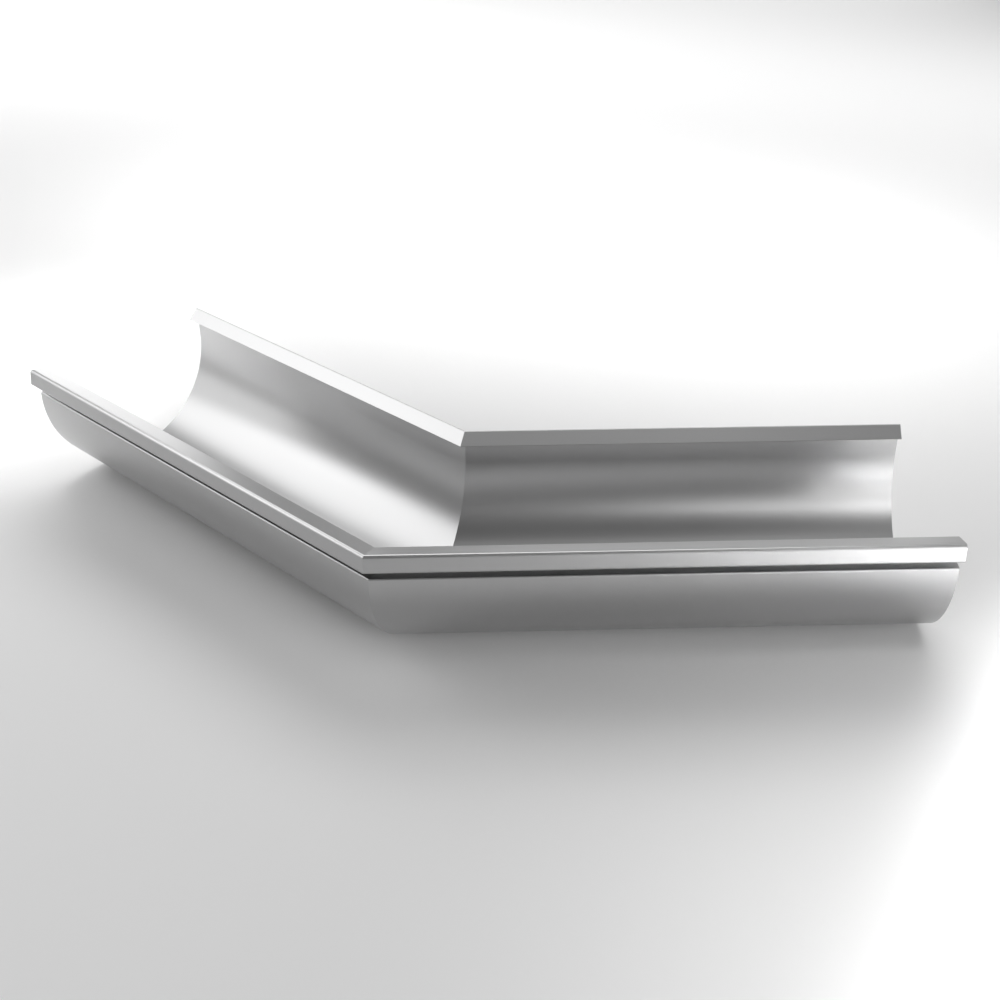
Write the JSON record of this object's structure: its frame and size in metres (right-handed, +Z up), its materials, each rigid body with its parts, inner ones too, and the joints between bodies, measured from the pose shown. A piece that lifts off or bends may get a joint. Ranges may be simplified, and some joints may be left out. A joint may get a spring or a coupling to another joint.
{
  "type": "gutter external angle",
  "caption": "Half-round steel gutter angle for an outside corner of 135 degrees, with a box-shaped front bead and a folded back edge.",
  "frame": {"origin": "middle of the part's box, on the floor it stands on", "axes": "+Z up; -Y the front, with the bead; +Y the building's corner; the mitre is the plane X = 0"},
  "size_m": [0.6832, 0.2862, 0.1],
  "materials": {
    "zinc_coated_steel": "satin zinc coating with a fine rolling grain"
  },
  "bodies": {
    "root": {"gutter_angle": "zinc_coated_steel"}
  },
  "joints": []
}
